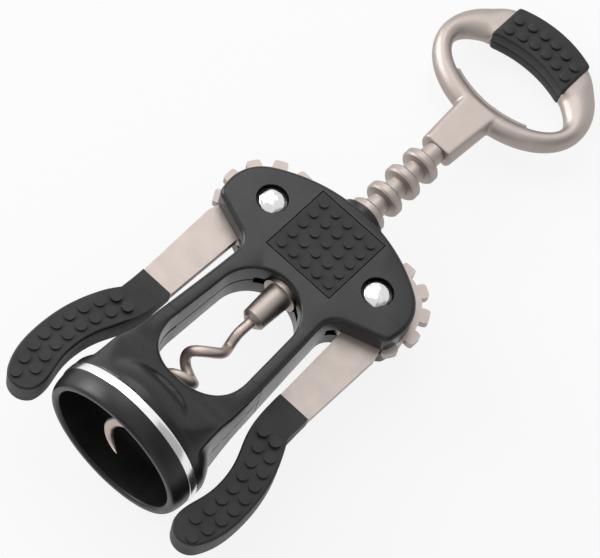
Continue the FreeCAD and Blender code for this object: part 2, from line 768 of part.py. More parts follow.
def all_pieces():
    pieces = {}
    front = frame_half()
    pieces["front_shell"] = front
    pieces["rear_shell"] = backed(front)
    pieces["front_inlay"] = inlay()
    pieces["rear_inlay"] = backed(inlay())
    pieces["bell_liner"] = bell_liner()
    pieces["bell_band"] = bell_band()
    pieces["right_pivot_pin"] = pivot_pin()
    pieces["left_pivot_pin"] = mirrored(pivot_pin())
    pieces["right_pivot_cap"] = pivot_cap()
    pieces["left_pivot_cap"] = mirrored(pivot_cap())
    pieces["rack_sleeve"] = rack_sleeve()
    plate = lever_plate()
    grip = grip_front(plate)
    pieces["right_lever"] = plate
    pieces["right_grip_front"] = grip
    pieces["right_grip_rear"] = backed(grip)
    pieces["left_lever"] = mirrored(plate)
    pieces["left_grip_front"] = mirrored(grip)
    pieces["left_grip_rear"] = mirrored(backed(grip))
    pieces["handle"] = handle()
    pieces["handle_pad"] = handle_pad(pieces["handle"])
    pieces["spindle"] = spindle()
    pieces["worm_collar"] = worm_collar()
    pieces["worm"] = worm()
    return {name: shape.Solids[0] for name, shape in pieces.items()}


# ---- lay the object on its back: the bell's band and the pad's far edge touch the plane ----

def lie_down(pieces):
    run = pad_far_y - (band_start_y + band_end_y) / 2
    tilt = math.degrees(math.atan2(band_radius - pad_half_thickness, run))
    turn = FreeCAD.Placement(point(0, 0, 0), FreeCAD.Rotation(point(1, 0, 0), -tilt))
    for shape in pieces.values():
        shape.Placement = turn.multiply(shape.Placement)
    box = FreeCAD.BoundBox()
    for shape in pieces.values():
        box.add(shape.optimalBoundingBox(False, False))
    shift = point(-box.Center.x, -box.Center.y, -box.ZMin)
    for shape in pieces.values():
        shape.translate(shift)
    return tilt, shift


if __name__ == "__main__":
    os.makedirs("parts", exist_ok=True)
    pieces = all_pieces()
    tilt, shift = lie_down(pieces)
    print("tilt %.4f deg, shift %.4f %.4f %.4f mm" % (tilt, shift.x, shift.y, shift.z))
    for name, shape in pieces.items():
        shape.exportStep("parts/%s.step" % name)
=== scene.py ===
import math

import bpy
from mathutils import Matrix, Vector


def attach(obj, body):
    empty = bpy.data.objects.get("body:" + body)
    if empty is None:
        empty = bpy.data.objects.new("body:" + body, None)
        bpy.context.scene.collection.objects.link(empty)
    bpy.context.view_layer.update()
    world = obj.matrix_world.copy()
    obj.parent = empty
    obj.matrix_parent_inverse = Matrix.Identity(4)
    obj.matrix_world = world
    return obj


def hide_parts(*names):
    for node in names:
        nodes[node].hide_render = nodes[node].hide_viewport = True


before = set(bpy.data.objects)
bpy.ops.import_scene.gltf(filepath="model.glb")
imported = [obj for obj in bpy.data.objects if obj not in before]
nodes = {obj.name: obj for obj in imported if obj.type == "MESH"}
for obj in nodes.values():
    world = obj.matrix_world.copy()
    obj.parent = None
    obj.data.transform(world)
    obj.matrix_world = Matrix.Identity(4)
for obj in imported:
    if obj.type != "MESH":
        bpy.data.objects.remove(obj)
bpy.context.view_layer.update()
bpy.ops.object.select_all(action="DESELECT")


# ---------------------------------------------------------------------------------------------
# Camera. It stands above the bell's right-hand side, 0.52 m off, and looks down along the tool
# with its handle towards the upper right of the frame.
# ---------------------------------------------------------------------------------------------
camera_place = Vector((0.10285, -0.17515, 0.48076))
camera_looks = Vector((-0.2028, 0.3189, -0.9258)).normalized()
camera_up = Vector((-0.6540, 0.6596, 0.3705))
film_width_mm = 36.0
lens_mm = 140.9

camera_right = camera_looks.cross(camera_up).normalized()
camera_up = camera_right.cross(camera_looks)
camera_turn = Matrix((camera_right, camera_up, -camera_looks)).transposed()

bpy.ops.object.camera_add()
camera = bpy.context.object
camera.name = "camera"
camera.matrix_world = Matrix.Translation(camera_place) @ camera_turn.to_4x4()
camera.data.sensor_fit = "HORIZONTAL"
camera.data.sensor_width = film_width_mm
camera.data.lens = lens_mm
camera.data.clip_start = 0.01
camera.data.clip_end = 20.0
bpy.context.scene.camera = camera
bpy.context.scene.view_settings.view_transform = "Standard"


# ---------------------------------------------------------------------------------------------
# Floor and studio. A white sweep that the tool lies on, white all round, one broad soft lamp
# above the head and one low on the left; grey flags at the right and the front that only
# reflections see, so that the black parts keep their depth.
# ---------------------------------------------------------------------------------------------
floor_size = 6.0
floor_drop = 0.0002
floor_colour = (0.86, 0.86, 0.86, 1.0)
floor_shown_white = 0.86
room_light = 0.45
flag_grey = 0.42
white = (1.0, 1.0, 1.0, 1.0)
tool_middle = Vector((0.0, 0.0, 0.01))
softboxes = (
    ("overhead_lamp", (-0.42, 0.42, 0.80), 0.60, 2.3),
    ("left_lamp", (-0.70, -0.10, 0.30), 0.45, 4.0),
)
flags = (
    ("right_flag", (0.62, 0.05, 0.42), 0.80),
    ("front_flag", (0.12, -0.75, 0.50), 0.70),
)


def seen_directly(tree):
    """Adds nodes that give 1 to rays from the camera, a mirror or glass, and 0 to all others."""
    ray = tree.nodes.new("ShaderNodeLightPath")
    either = tree.nodes.new("ShaderNodeMath")
    either.operation = "MAXIMUM"
    also = tree.nodes.new("ShaderNodeMath")
    also.operation = "MAXIMUM"
    tree.links.new(ray.outputs["Is Camera Ray"], either.inputs[0])
    tree.links.new(ray.outputs["Is Glossy Ray"], either.inputs[1])
    tree.links.new(either.outputs[0], also.inputs[0])
    tree.links.new(ray.outputs["Is Transmission Ray"], also.inputs[1])
    return also.outputs[0]


def towards_tool(place):
    return (tool_middle - Vector(place)).to_track_quat("-Z", "Y").to_euler()


paper = bpy.data.materials.new("white_paper")
paper.use_nodes = True
tree = paper.node_tree
surface = tree.nodes["Principled BSDF"]
surface.inputs["Base Color"].default_value = floor_colour
surface.inputs["Roughness"].default_value = 0.9
surface.inputs["Specular IOR Level"].default_value = 0.1
glow = tree.nodes.new("ShaderNodeEmission")
glow.inputs["Color"].default_value = white
glow.inputs["Strength"].default_value = 1.0
share = tree.nodes.new("ShaderNodeMath")
share.operation = "MULTIPLY"
share.inputs[1].default_value = floor_shown_white
blend = tree.nodes.new("ShaderNodeMixShader")
tree.links.new(seen_directly(tree), share.inputs[0])
tree.links.new(share.outputs[0], blend.inputs["Fac"])
tree.links.new(surface.outputs["BSDF"], blend.inputs[1])
tree.links.new(glow.outputs["Emission"], blend.inputs[2])
tree.links.new(blend.outputs["Shader"], tree.nodes["Material Output"].inputs["Surface"])

bpy.ops.mesh.primitive_plane_add(size=floor_size, location=(0.0, 0.0, -floor_drop))
floor = bpy.context.object
floor.name = "floor"
bpy.ops.object.transform_apply(location=True, rotation=True, scale=True)
floor.data.materials.append(paper)

studio = bpy.data.worlds.new("studio")
studio.use_nodes = True
tree = studio.node_tree
room = tree.nodes["Background"]
room.inputs["Color"].default_value = white
level = tree.nodes.new("ShaderNodeMapRange")
level.inputs["To Min"].default_value = room_light
level.inputs["To Max"].default_value = 1.0
tree.links.new(seen_directly(tree), level.inputs["Value"])
tree.links.new(level.outputs["Result"], room.inputs["Strength"])
bpy.context.scene.world = studio

for name, place, width, watts in softboxes:
    bpy.ops.object.light_add(type="AREA", location=place)
    lamp = bpy.context.object
    lamp.name = name
    lamp.data.shape = "SQUARE"
    lamp.data.size = width
    lamp.data.energy = watts
    lamp.rotation_euler = towards_tool(place)

felt = bpy.data.materials.new("grey_felt")
felt.use_nodes = True
surface = felt.node_tree.nodes["Principled BSDF"]
surface.inputs["Base Color"].default_value = (0.02, 0.02, 0.02, 1.0)
surface.inputs["Emission Color"].default_value = white
surface.inputs["Emission Strength"].default_value = flag_grey
surface.inputs["Roughness"].default_value = 1.0
surface.inputs["Specular IOR Level"].default_value = 0.0
for name, place, width in flags:
    bpy.ops.mesh.primitive_plane_add(size=width, location=place)
    flag = bpy.context.object
    flag.name = name
    flag.rotation_euler = towards_tool(place)
    bpy.ops.object.transform_apply(location=True, rotation=True, scale=True)
    flag.data.materials.append(felt)
    flag.visible_camera = False
    flag.visible_diffuse = False
    flag.visible_shadow = False
    flag.visible_transmission = False


# ---------------------------------------------------------------------------------------------
# Bell and head shells. Two moulded halves under a satin black coat with a fine orange-peel
# grain, rubbed paler on the edges that hands and tables meet. Their struts run into the bell in
# soft hollows; the halves meet at a groove round the tool.
# ---------------------------------------------------------------------------------------------
lying_angle = math.radians(6.0288)
lying_shift = Vector((0.0, -0.0712576, 0.01906))
lay_down = Matrix.Translation(lying_shift) @ Matrix.Rotation(-lying_angle, 4, "X") @ Matrix.Scale(0.001, 4)
stand_up = lay_down.inverted()
merge_distance = 0.002
cut_height = 30.0
shell_voxel = 0.24
hollow_turns = 90
hollow_foot = (7.4, 9.6)
hollow_head = (23.0, 28.0)
hollow_off_seam = (1.6, 3.2)
hollow_off_bore = (9.0, 11.5)
voxel_turns = 4
voxel_foot = (6.4, 7.0)
voxel_head = (28.6, 29.6)
voxel_off_seam = (0.2, 0.5)


def fine_grain():
    """Shader group: grain of a given size, and the broad patches of handling over it."""
    group = bpy.data.node_groups.new("fine_grain", "ShaderNodeTree")
    for label, value in (("Grain Size mm", 0.3), ("Patch Size mm", 8.0)):
        socket = group.interface.new_socket(name=label, in_out="INPUT", socket_type="NodeSocketFloat")
        socket.default_value = value
    for label in ("Grain", "Patches"):
        group.interface.new_socket(name=label, in_out="OUTPUT", socket_type="NodeSocketFloat")
    inside = group.nodes.new("NodeGroupInput")
    outside = group.nodes.new("NodeGroupOutput")
    place = group.nodes.new("ShaderNodeTexCoord")
    for label, size_label, detail in (("Grain", "Grain Size mm", 3.0), ("Patches", "Patch Size mm", 4.0)):
        per_metre = group.nodes.new("ShaderNodeMath")
        per_metre.operation = "DIVIDE"
        per_metre.inputs[0].default_value = 1000.0
        noise = group.nodes.new("ShaderNodeTexNoise")
        noise.inputs["Detail"].default_value = detail
        noise.inputs["Roughness"].default_value = 0.6
        group.links.new(inside.outputs[size_label], per_metre.inputs[1])
        group.links.new(per_metre.outputs[0], noise.inputs["Scale"])
        group.links.new(place.outputs["Object"], noise.inputs["Vector"])
        group.links.new(noise.outputs["Fac"], outside.inputs[label])
    return group


def edge_rub():
    """Shader group: 1 on edges sharper than the radius, broken up by wear, and 0 elsewhere."""
    group = bpy.data.node_groups.new("edge_rub", "ShaderNodeTree")
    for label, value in (("Radius mm", 0.35), ("Wear", 0.5)):
        socket = group.interface.new_socket(name=label, in_out="INPUT", socket_type="NodeSocketFloat")
        socket.default_value = value
    group.interface.new_socket(name="Mask", in_out="OUTPUT", socket_type="NodeSocketFloat")
    inside = group.nodes.new("NodeGroupInput")
    outside = group.nodes.new("NodeGroupOutput")
    metres = group.nodes.new("ShaderNodeMath")
    metres.operation = "MULTIPLY"
    metres.inputs[1].default_value = 0.001
    eased = group.nodes.new("ShaderNodeBevel")
    eased.samples = 6
    true = group.nodes.new("ShaderNodeNewGeometry")
    same = group.nodes.new("ShaderNodeVectorMath")
    same.operation = "DOT_PRODUCT"
    place = group.nodes.new("ShaderNodeTexCoord")
    broken = group.nodes.new("ShaderNodeTexNoise")
    broken.inputs["Scale"].default_value = 350.0
    broken.inputs["Detail"].default_value = 5.0
    bent = group.nodes.new("ShaderNodeMapRange")
    bent.inputs["From Min"].default_value = 0.995
    bent.inputs["From Max"].default_value = 0.90
    worn = group.nodes.new("ShaderNodeMapRange")
    worn.inputs["From Min"].default_value = 0.35
    worn.inputs["From Max"].default_value = 0.65
    both = group.nodes.new("ShaderNodeMath")
    both.operation = "MULTIPLY"
    amount = group.nodes.new("ShaderNodeMath")
    amount.operation = "MULTIPLY"
    group.links.new(inside.outputs["Radius mm"], metres.inputs[0])
    group.links.new(metres.outputs[0], eased.inputs["Radius"])
    group.links.new(eased.outputs["Normal"], same.inputs[0])
    group.links.new(true.outputs["Normal"], same.inputs[1])
    group.links.new(same.outputs["Value"], bent.inputs["Value"])
    group.links.new(place.outputs["Object"], broken.inputs["Vector"])
    group.links.new(broken.outputs["Fac"], worn.inputs["Value"])
    group.links.new(bent.outputs["Result"], both.inputs[0])
    group.links.new(worn.outputs["Result"], both.inputs[1])
    group.links.new(both.outputs[0], amount.inputs[0])
    group.links.new(inside.outputs["Wear"], amount.inputs[1])
    group.links.new(amount.outputs[0], outside.inputs["Mask"])
    return group


grain_group = fine_grain()
rub_group = edge_rub()


def finish_of(name, colour, patch_colour, worn_colour, gloss, grain_mm, patch_mm, depth_mm, rub_mm, wear,
              metal=0.0, glint=0.5):
    """A finish with grain in its relief, patches in its colour and gloss, and rubbed edges."""
    finish = bpy.data.materials.new(name)
    finish.use_nodes = True
    tree = finish.node_tree
    surface = tree.nodes["Principled BSDF"]
    surface.inputs["Metallic"].default_value = metal
    surface.inputs["Specular IOR Level"].default_value = glint
    grain = tree.nodes.new("ShaderNodeGroup")
    grain.node_tree = grain_group
    grain.inputs["Grain Size mm"].default_value = grain_mm
    grain.inputs["Patch Size mm"].default_value = patch_mm
    rub = tree.nodes.new("ShaderNodeGroup")
    rub.node_tree = rub_group
    rub.inputs["Radius mm"].default_value = rub_mm
    rub.inputs["Wear"].default_value = wear
    patched = tree.nodes.new("ShaderNodeMix")
    patched.data_type = "RGBA"
    patched.inputs["A"].default_value = (*colour, 1.0)
    patched.inputs["B"].default_value = (*patch_colour, 1.0)
    rubbed = tree.nodes.new("ShaderNodeMix")
    rubbed.data_type = "RGBA"
    rubbed.inputs["B"].default_value = (*worn_colour, 1.0)
    gloss_range = tree.nodes.new("ShaderNodeMapRange")
    gloss_range.inputs["From Min"].default_value = 0.3
    gloss_range.inputs["From Max"].default_value = 0.7
    gloss_range.inputs["To Min"].default_value = gloss[0]
    gloss_range.inputs["To Max"].default_value = gloss[1]
    relief = tree.nodes.new("ShaderNodeBump")
    relief.inputs["Strength"].default_value = 1.0
    relief.inputs["Distance"].default_value = depth_mm / 1000.0
    tree.links.new(grain.outputs["Patches"], patched.inputs["Factor"])
    tree.links.new(patched.outputs["Result"], rubbed.inputs["A"])
    tree.links.new(rub.outputs["Mask"], rubbed.inputs["Factor"])
    tree.links.new(rubbed.outputs["Result"], surface.inputs["Base Color"])
    tree.links.new(grain.outputs["Patches"], gloss_range.inputs["Value"])
    tree.links.new(gloss_range.outputs["Result"], surface.inputs["Roughness"])
    tree.links.new(grain.outputs["Grain"], relief.inputs["Height"])
    tree.links.new(relief.outputs["Normal"], surface.inputs["Normal"])
    return finish


def dress(finish, *names):
    for name in names:
        nodes[name].material_slots[0].material = finish


def only(piece):
    """Leaves one object selected and active."""
    bpy.ops.object.select_all(action="DESELECT")
    piece.select_set(True)
    bpy.context.view_layer.objects.active = piece


def apply_all(piece):
    only(piece)
    for name in [modifier.name for modifier in piece.modifiers]:
        bpy.ops.object.modifier_apply(modifier=name)


def joined(name, parts):
    bpy.ops.object.select_all(action="DESELECT")
    for part in parts:
        part.select_set(True)
    bpy.context.view_layer.objects.active = parts[0]
    bpy.ops.object.join()
    parts[0].name = name
    return parts[0]


def place_in_mesh():
    """Moves the active object's place, turn and scale into its mesh."""
    bpy.ops.object.transform_apply(location=True, rotation=True, scale=True)


def evened(piece, voxel):
    remesh = piece.modifiers.new("even", "REMESH")
    remesh.mode = "VOXEL"
    remesh.voxel_size = voxel


def relaxed(piece, turns, vertex_group=""):
    relax = piece.modifiers.new("relax", "SMOOTH")
    relax.factor = 0.5
    relax.iterations = turns
    relax.vertex_group = vertex_group


def lay(piece, body, finish, smooth_angle=35.0):
    """Takes a piece drawn in millimetres, tool upright, to its place on the floor, and dresses it."""
    only(piece)
    piece.data.transform(lay_down)
    piece.data.materials.clear()
    piece.data.materials.append(finish)
    bpy.ops.object.shade_smooth_by_angle(angle=math.radians(smooth_angle))
    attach(piece, body)


def copy_of(node, name):
    """A merged copy of a CAD node, in millimetres with the tool upright."""
    mesh = nodes[node].data.copy()
    piece = bpy.data.objects.new(name, mesh)
    bpy.context.collection.objects.link(piece)
    mesh.transform(stand_up)
    only(piece)
    bpy.ops.mesh.customdata_custom_splitnormals_clear()
    bpy.ops.object.mode_set(mode="EDIT")
    bpy.ops.mesh.select_all(action="SELECT")
    bpy.ops.mesh.remove_doubles(threshold=merge_distance)
    bpy.ops.object.mode_set(mode="OBJECT")
    return piece


def half_kept(piece, height, keep_above):
    """Cuts a piece across the screw axis and closes the cut."""
    only(piece)
    bpy.ops.object.mode_set(mode="EDIT")
    bpy.ops.mesh.select_all(action="SELECT")
    bpy.ops.mesh.bisect(
        plane_co=(0.0, height, 0.0), plane_no=(0.0, 1.0, 0.0), use_fill=True,
        clear_inner=keep_above, clear_outer=not keep_above,
    )
    bpy.ops.object.mode_set(mode="OBJECT")


def step(value, low, high):
    """0 below low, 1 above high and a smooth rise between them."""
    share = min(max((value - low) / (high - low), 0.0), 1.0)
    return share * share * (3.0 - 2.0 * share)


def hollow_share(x, y, z):
    """How far the relaxing reaches: all round the struts' feet, not at mouth, groove or cut."""
    along = step(y, *hollow_foot) * (1.0 - step(y, *hollow_head))
    return along * step(abs(z), *hollow_off_seam) * step(math.hypot(x, z), *hollow_off_bore)


def voxel_share(x, y, z):
    """Where the voxels' steps are taken off: all but the mouth, the groove and the cut."""
    return (1.0 - step(y, *voxel_head)) * step(y, *voxel_foot) * step(abs(z), *voxel_off_seam)


coat = finish_of(
    "satin_black_coat",
    colour=(0.007, 0.007, 0.007), patch_colour=(0.011, 0.011, 0.011), worn_colour=(0.09, 0.09, 0.09),
    gloss=(0.24, 0.34), grain_mm=0.22, patch_mm=9.0, depth_mm=0.016, rub_mm=0.35, wear=0.45, glint=0.4,
)
dress(coat, "front_shell", "rear_shell")

for node, name in (("front_shell", "front_moulding"), ("rear_shell", "rear_moulding")):
    head = copy_of(node, name)
    bell = copy_of(node, name + "_bell")
    half_kept(head, cut_height, True)
    half_kept(bell, cut_height, False)
    evened(bell, shell_voxel)
    apply_all(bell)
    hollowing = ("soft", hollow_share, hollow_turns)
    evening = ("even", voxel_share, voxel_turns)
    for group_name, share_at, turns in (hollowing, evening):
        group = bell.vertex_groups.new(name=group_name)
        for vertex in bell.data.vertices:
            weight = share_at(*vertex.co)
            if weight > 0.0:
                group.add([vertex.index], weight, "REPLACE")
        relaxed(bell, turns, group_name)
    apply_all(bell)
    moulding = joined(name, [head, bell])
    lay(moulding, "frame", coat)
    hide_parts(node)


# ---------------------------------------------------------------------------------------------
# Rivets. Steel pins through both shells, which the levers turn on. Each head is a low dome over
# nearly the whole of its recess, struck a little unevenly and polished by hand.
# ---------------------------------------------------------------------------------------------
pivot_x = 15.4
pivot_y = 64.6
dome_radius = 3.32
dome_foot = 3.9
dome_edge = 5.0
dome_rise = 0.9
dome_edge_share = 0.35
dome_sides = 72
dome_rings = 12
dent_size = 1.9
dent_depth = 0.28
on_the_edge = 0.001

rivet = finish_of(
    "polished_rivet",
    colour=(0.62, 0.62, 0.62), patch_colour=(0.76, 0.76, 0.76), worn_colour=(0.97, 0.97, 0.97),
    gloss=(0.12, 0.22), grain_mm=1.6, patch_mm=2.5, depth_mm=0.05, rub_mm=0.15, wear=0.3, metal=1.0,
)
dress(rivet, "right_pivot_pin", "left_pivot_pin", "right_pivot_cap", "left_pivot_cap")

dents = bpy.data.textures.new("rivet_dents", "CLOUDS")
dents.noise_scale = dent_size
dents.noise_depth = 1
for side, side_name in ((1, "right"), (-1, "left")):
    for face in ("front", "rear"):
        bpy.ops.object.select_all(action="DESELECT")
        bpy.ops.mesh.primitive_cylinder_add(
            vertices=dome_sides, radius=dome_radius, depth=dome_edge - dome_foot,
            location=(0.0, 0.0, (dome_edge + dome_foot) / 2),
        )
        dome = bpy.context.object
        place_in_mesh()
        bpy.ops.object.mode_set(mode="EDIT")
        bpy.ops.mesh.select_all(action="DESELECT")
        bpy.ops.object.mode_set(mode="OBJECT")
        for polygon in dome.data.polygons:
            polygon.select = polygon.center.z > dome_edge - on_the_edge
        bpy.ops.object.mode_set(mode="EDIT")
        level = 0.0
        for ring_number in range(1, dome_rings):
            angle = math.radians(90.0) * ring_number / dome_rings
            rounded_edge = dome_edge_share * math.sin(min(angle * 3.0, math.pi / 2))
            raised = dome_rise * (rounded_edge + (1.0 - dome_edge_share) * math.sin(angle))
            bpy.ops.mesh.inset(thickness=dome_radius / dome_rings, use_even_offset=True)
            bpy.ops.transform.translate(value=(0.0, 0.0, raised - level))
            level = raised
        bpy.ops.object.mode_set(mode="OBJECT")
        top = dome.vertex_groups.new(name="top")
        for vertex in dome.data.vertices:
            if vertex.co.z > dome_edge - on_the_edge:
                top.add([vertex.index], 1.0, "REPLACE")
        uneven = dome.modifiers.new("uneven", "DISPLACE")
        uneven.texture = dents
        uneven.texture_coords = "LOCAL"
        uneven.direction = "Z"
        uneven.strength = dent_depth
        uneven.mid_level = 0.5
        uneven.vertex_group = "top"
        dome.data.transform(Matrix.Translation((side * pivot_x, pivot_y, 0.0)))
        apply_all(dome)
        if face == "rear":
            only(dome)
            bpy.ops.object.mode_set(mode="EDIT")
            bpy.ops.mesh.select_all(action="SELECT")
            bpy.ops.transform.resize(value=(1.0, 1.0, -1.0), center_override=(0.0, 0.0, 0.0))
            bpy.ops.mesh.flip_normals()
            bpy.ops.object.mode_set(mode="OBJECT")
        dome.name = side_name + "_rivet_dome_" + face
        lay(dome, "frame", rivet, 50.0)


# ---------------------------------------------------------------------------------------------
# Levers, rack, spindle and collar. Zinc castings and turned steel plated in pearl nickel: a warm
# satin grey with a fine cast grain, and brighter plating where the edges are rubbed.
# ---------------------------------------------------------------------------------------------
nickel = finish_of(
    "pearl_nickel",
    colour=(0.385, 0.335, 0.31), patch_colour=(0.43, 0.378, 0.352), worn_colour=(0.58, 0.53, 0.50),
    gloss=(0.42, 0.52), grain_mm=0.20, patch_mm=4.0, depth_mm=0.022, rub_mm=0.30, wear=0.6, metal=1.0,
)
dress(nickel, "right_lever", "left_lever", "rack_sleeve", "spindle", "handle", "worm_collar")


# ---------------------------------------------------------------------------------------------
# Worm. Drawn wire bent to an open helix and plated after grinding its point, so it is smoother
# than the castings.
# ---------------------------------------------------------------------------------------------
wire = finish_of(
    "plated_wire",
    colour=(0.52, 0.44, 0.40), patch_colour=(0.58, 0.50, 0.46), worn_colour=(0.62, 0.56, 0.52),
    gloss=(0.44, 0.54), grain_mm=0.12, patch_mm=3.0, depth_mm=0.005, rub_mm=0.15, wear=0.4, metal=1.0,
)
dress(wire, "worm")


# ---------------------------------------------------------------------------------------------
# Handle. A cast ring, round in section at its sides and broad and flat where it runs in under
# the pad, on a round neck whose two flats close in to the ring; a thin ledge across the eye's
# foot lifts crown caps. Plated as the levers are.
# ---------------------------------------------------------------------------------------------
ring_centre_y = 130.3
ring_half_width = 20.8
ring_rise = 16.8
ring_drop = 15.2
ring_half_thickness = 2.8
ring_round_power = 2.0
ring_square_power = 4.6
ring_start_radius = 18.0
ring_voxel = 0.22
ring_turns = 14
eye_half_width = 16.1
eye_centre_y = 128.7
eye_rise = 8.2
eye_drop = 8.2
eye_head_fullness = 1.20
eye_foot_fullness = 1.08
covered_from = math.radians(59.5)
covered_to = math.radians(63.0)
squarest_at = math.radians(33.0)
roundest_at = math.radians(50.0)
pad_arc_radius = 28.6
tucked_narrower = 0.18
tucked_thinner = 0.8
tucked_half_width = 10.3
tucked_low_y = 137.4
tucked_high_y = 146.2
neck_foot_y = 103.2
neck_top_y = 118.8
neck_foot_radius = 4.25
neck_top_radius = 5.15
neck_edge_round = 0.35
neck_flats_apart = 9.0
neck_flats_close_in = 0.63
neck_flats_width = 30.0
ledge_y = 119.65
ledge_width = 20.4
ledge_depth = 2.6
ledge_half_thickness = 1.6
ledge_arc_radius = 25.8
ledge_slices = 24


def bent_power(value, power):
    return math.copysign(abs(value) ** power, value)


def arc_sag(x, radius):
    """How far an arc over the screw axis has dropped at x."""
    return radius - math.sqrt(radius * radius - x * x)


def ring_section(angle):
    """Middle and half width of the ring's section, its half thickness and how square it is."""
    across, along = math.cos(angle), math.sin(angle)
    upper = along > 0
    outer_y = ring_centre_y + (ring_rise if upper else ring_drop) * along
    outer = Vector((ring_half_width * across, outer_y, 0.0))
    fullness, height = (eye_head_fullness, eye_rise) if upper else (eye_foot_fullness, eye_drop)
    inner_y = eye_centre_y + height * bent_power(along, fullness)
    inner = Vector((eye_half_width * bent_power(across, fullness), inner_y, 0.0))
    from_top = abs(math.atan2(across, along))
    squareness = 1.0 - step(from_top, squarest_at, roundest_at)
    covered = 1.0 - step(from_top, math.radians(90.0) - covered_to, math.radians(90.0) - covered_from)
    half = (outer - inner) / 2 * (1.0 - tucked_narrower * covered)
    thickness = ring_half_thickness - tucked_thinner * covered
    power = ring_round_power + (ring_square_power - ring_round_power) * squareness
    return (outer + inner) / 2, half, thickness, power


def block_in_slices(slices, width, depth, low, high):
    """A flat block between two heights, sliced across its width so that it can be bent."""
    bpy.ops.object.select_all(action="DESELECT")
    bpy.ops.mesh.primitive_grid_add(
        x_subdivisions=slices, y_subdivisions=1, size=1.0, location=(0.0, 0.0, low),
    )
    block = bpy.context.object
    block.scale = (width, depth, 1.0)
    place_in_mesh()
    bpy.ops.object.mode_set(mode="EDIT")
    bpy.ops.mesh.select_all(action="SELECT")
    bpy.ops.mesh.extrude_region_move(TRANSFORM_OT_translate={"value": (0.0, 0.0, high - low)})
    bpy.ops.mesh.select_all(action="SELECT")
    bpy.ops.mesh.normals_make_consistent(inside=False)
    bpy.ops.object.mode_set(mode="OBJECT")
    return block


def round_edges(piece, width, segments):
    rounded = piece.modifiers.new("rounded", "BEVEL")
    rounded.width = width
    rounded.segments = segments
    rounded.limit_method = "ANGLE"
    apply_all(piece)


def combine(piece, operation, other):
    cut = piece.modifiers.new("with_" + other.name, "BOOLEAN")
    cut.operation = operation
    cut.object = other
    cut.solver = "EXACT"


bpy.ops.object.select_all(action="DESELECT")
bpy.ops.mesh.primitive_torus_add(
    location=(0.0, 0.0, 0.0), major_segments=192, minor_segments=40,
    major_radius=ring_start_radius, minor_radius=2.4,
)
ring = bpy.context.object
for vertex in ring.data.vertices:
    x, y, z = vertex.co
    middle, half, thickness, power = ring_section(math.atan2(y, x))
    turn = math.atan2(z, math.hypot(x, y) - ring_start_radius)
    out = bent_power(math.cos(turn), 2.0 / power)
    up = bent_power(math.sin(turn), 2.0 / power)
    vertex.co = middle + half * out + Vector((0.0, 0.0, thickness * up))
    if y > 0 and abs(vertex.co.x) < tucked_half_width:
        sag = arc_sag(vertex.co.x, pad_arc_radius)
        vertex.co.y = min(max(vertex.co.y, tucked_low_y - sag), tucked_high_y - sag)

neck_length = neck_top_y - neck_foot_y
neck_middle = (0.0, (neck_top_y + neck_foot_y) / 2, 0.0)
bpy.ops.object.select_all(action="DESELECT")
bpy.ops.mesh.primitive_cone_add(
    vertices=96, radius1=neck_foot_radius, radius2=neck_top_radius, depth=neck_length,
    location=neck_middle, rotation=(math.radians(-90.0), 0.0, 0.0),
)
neck = bpy.context.object
place_in_mesh()
round_edges(neck, neck_edge_round, 4)

bpy.ops.object.select_all(action="DESELECT")
bpy.ops.mesh.primitive_cube_add(size=1.0, location=neck_middle)
flats = bpy.context.object
flats.scale = (neck_flats_width, neck_length + 1.0, neck_flats_apart)
place_in_mesh()
only(flats)
for polygon in flats.data.polygons:
    polygon.select = polygon.center.y > neck_top_y
bpy.ops.object.mode_set(mode="EDIT")
bpy.ops.mesh.select_mode(type="FACE")
bpy.ops.transform.resize(value=(1.0, 1.0, neck_flats_close_in), center_override=(0.0, neck_top_y, 0.0))
bpy.ops.object.mode_set(mode="OBJECT")
combine(neck, "INTERSECT", flats)
apply_all(neck)
bpy.data.objects.remove(flats)

ledge = block_in_slices(ledge_slices, ledge_width, ledge_depth, -ledge_half_thickness, ledge_half_thickness)
for vertex in ledge.data.vertices:
    vertex.co.y += ledge_y + arc_sag(vertex.co.x, ledge_arc_radius)

combine(ring, "UNION", neck)
combine(ring, "UNION", ledge)
evened(ring, ring_voxel)
apply_all(ring)
bpy.data.objects.remove(neck)
bpy.data.objects.remove(ledge)
relaxed(ring, ring_turns)
apply_all(ring)
ring.name = "cast_handle"
lay(ring, "turning_group", nickel, 60.0)
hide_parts("handle")


# ---------------------------------------------------------------------------------------------
# Grips, inlays and handle pad. Soft black thermoplastic moulded with rows of round knobs. The pad
# is moulded round the top of the ring in two halves with a fine seam between them, rounder at the
# back, and two rows of six knobs on the front.
# ---------------------------------------------------------------------------------------------
pad_half_width = 10.75
pad_middle_y = 141.8
pad_depth = 10.2
pad_half_thickness = 3.4
seam_half_width = 0.12
core_half_thickness = 0.6
core_tuck = 0.35
pad_slices = 30
pad_slice = 0.7
pad_slices_each_side = 14
pad_side_bevel = 0.15
knob_rows = (143.1, 139.4)
knobs_per_row = 6
knob_pitch = 3.36
knob_radius = 1.28
knob_height = 1.0
knob_sunk = 0.45
knob_edge_round = 0.22
knob_arc_radius = 26.0

soft = finish_of(
    "soft_black",
    colour=(0.009, 0.009, 0.009), patch_colour=(0.016, 0.016, 0.016), worn_colour=(0.055, 0.055, 0.055),
    gloss=(0.46, 0.60), grain_mm=0.22, patch_mm=5.0, depth_mm=0.022, rub_mm=0.25, wear=0.6, glint=0.4,
)
dress(
    soft, "front_inlay", "rear_inlay", "handle_pad",
    "right_grip_front", "right_grip_rear", "left_grip_front", "left_grip_rear",
)

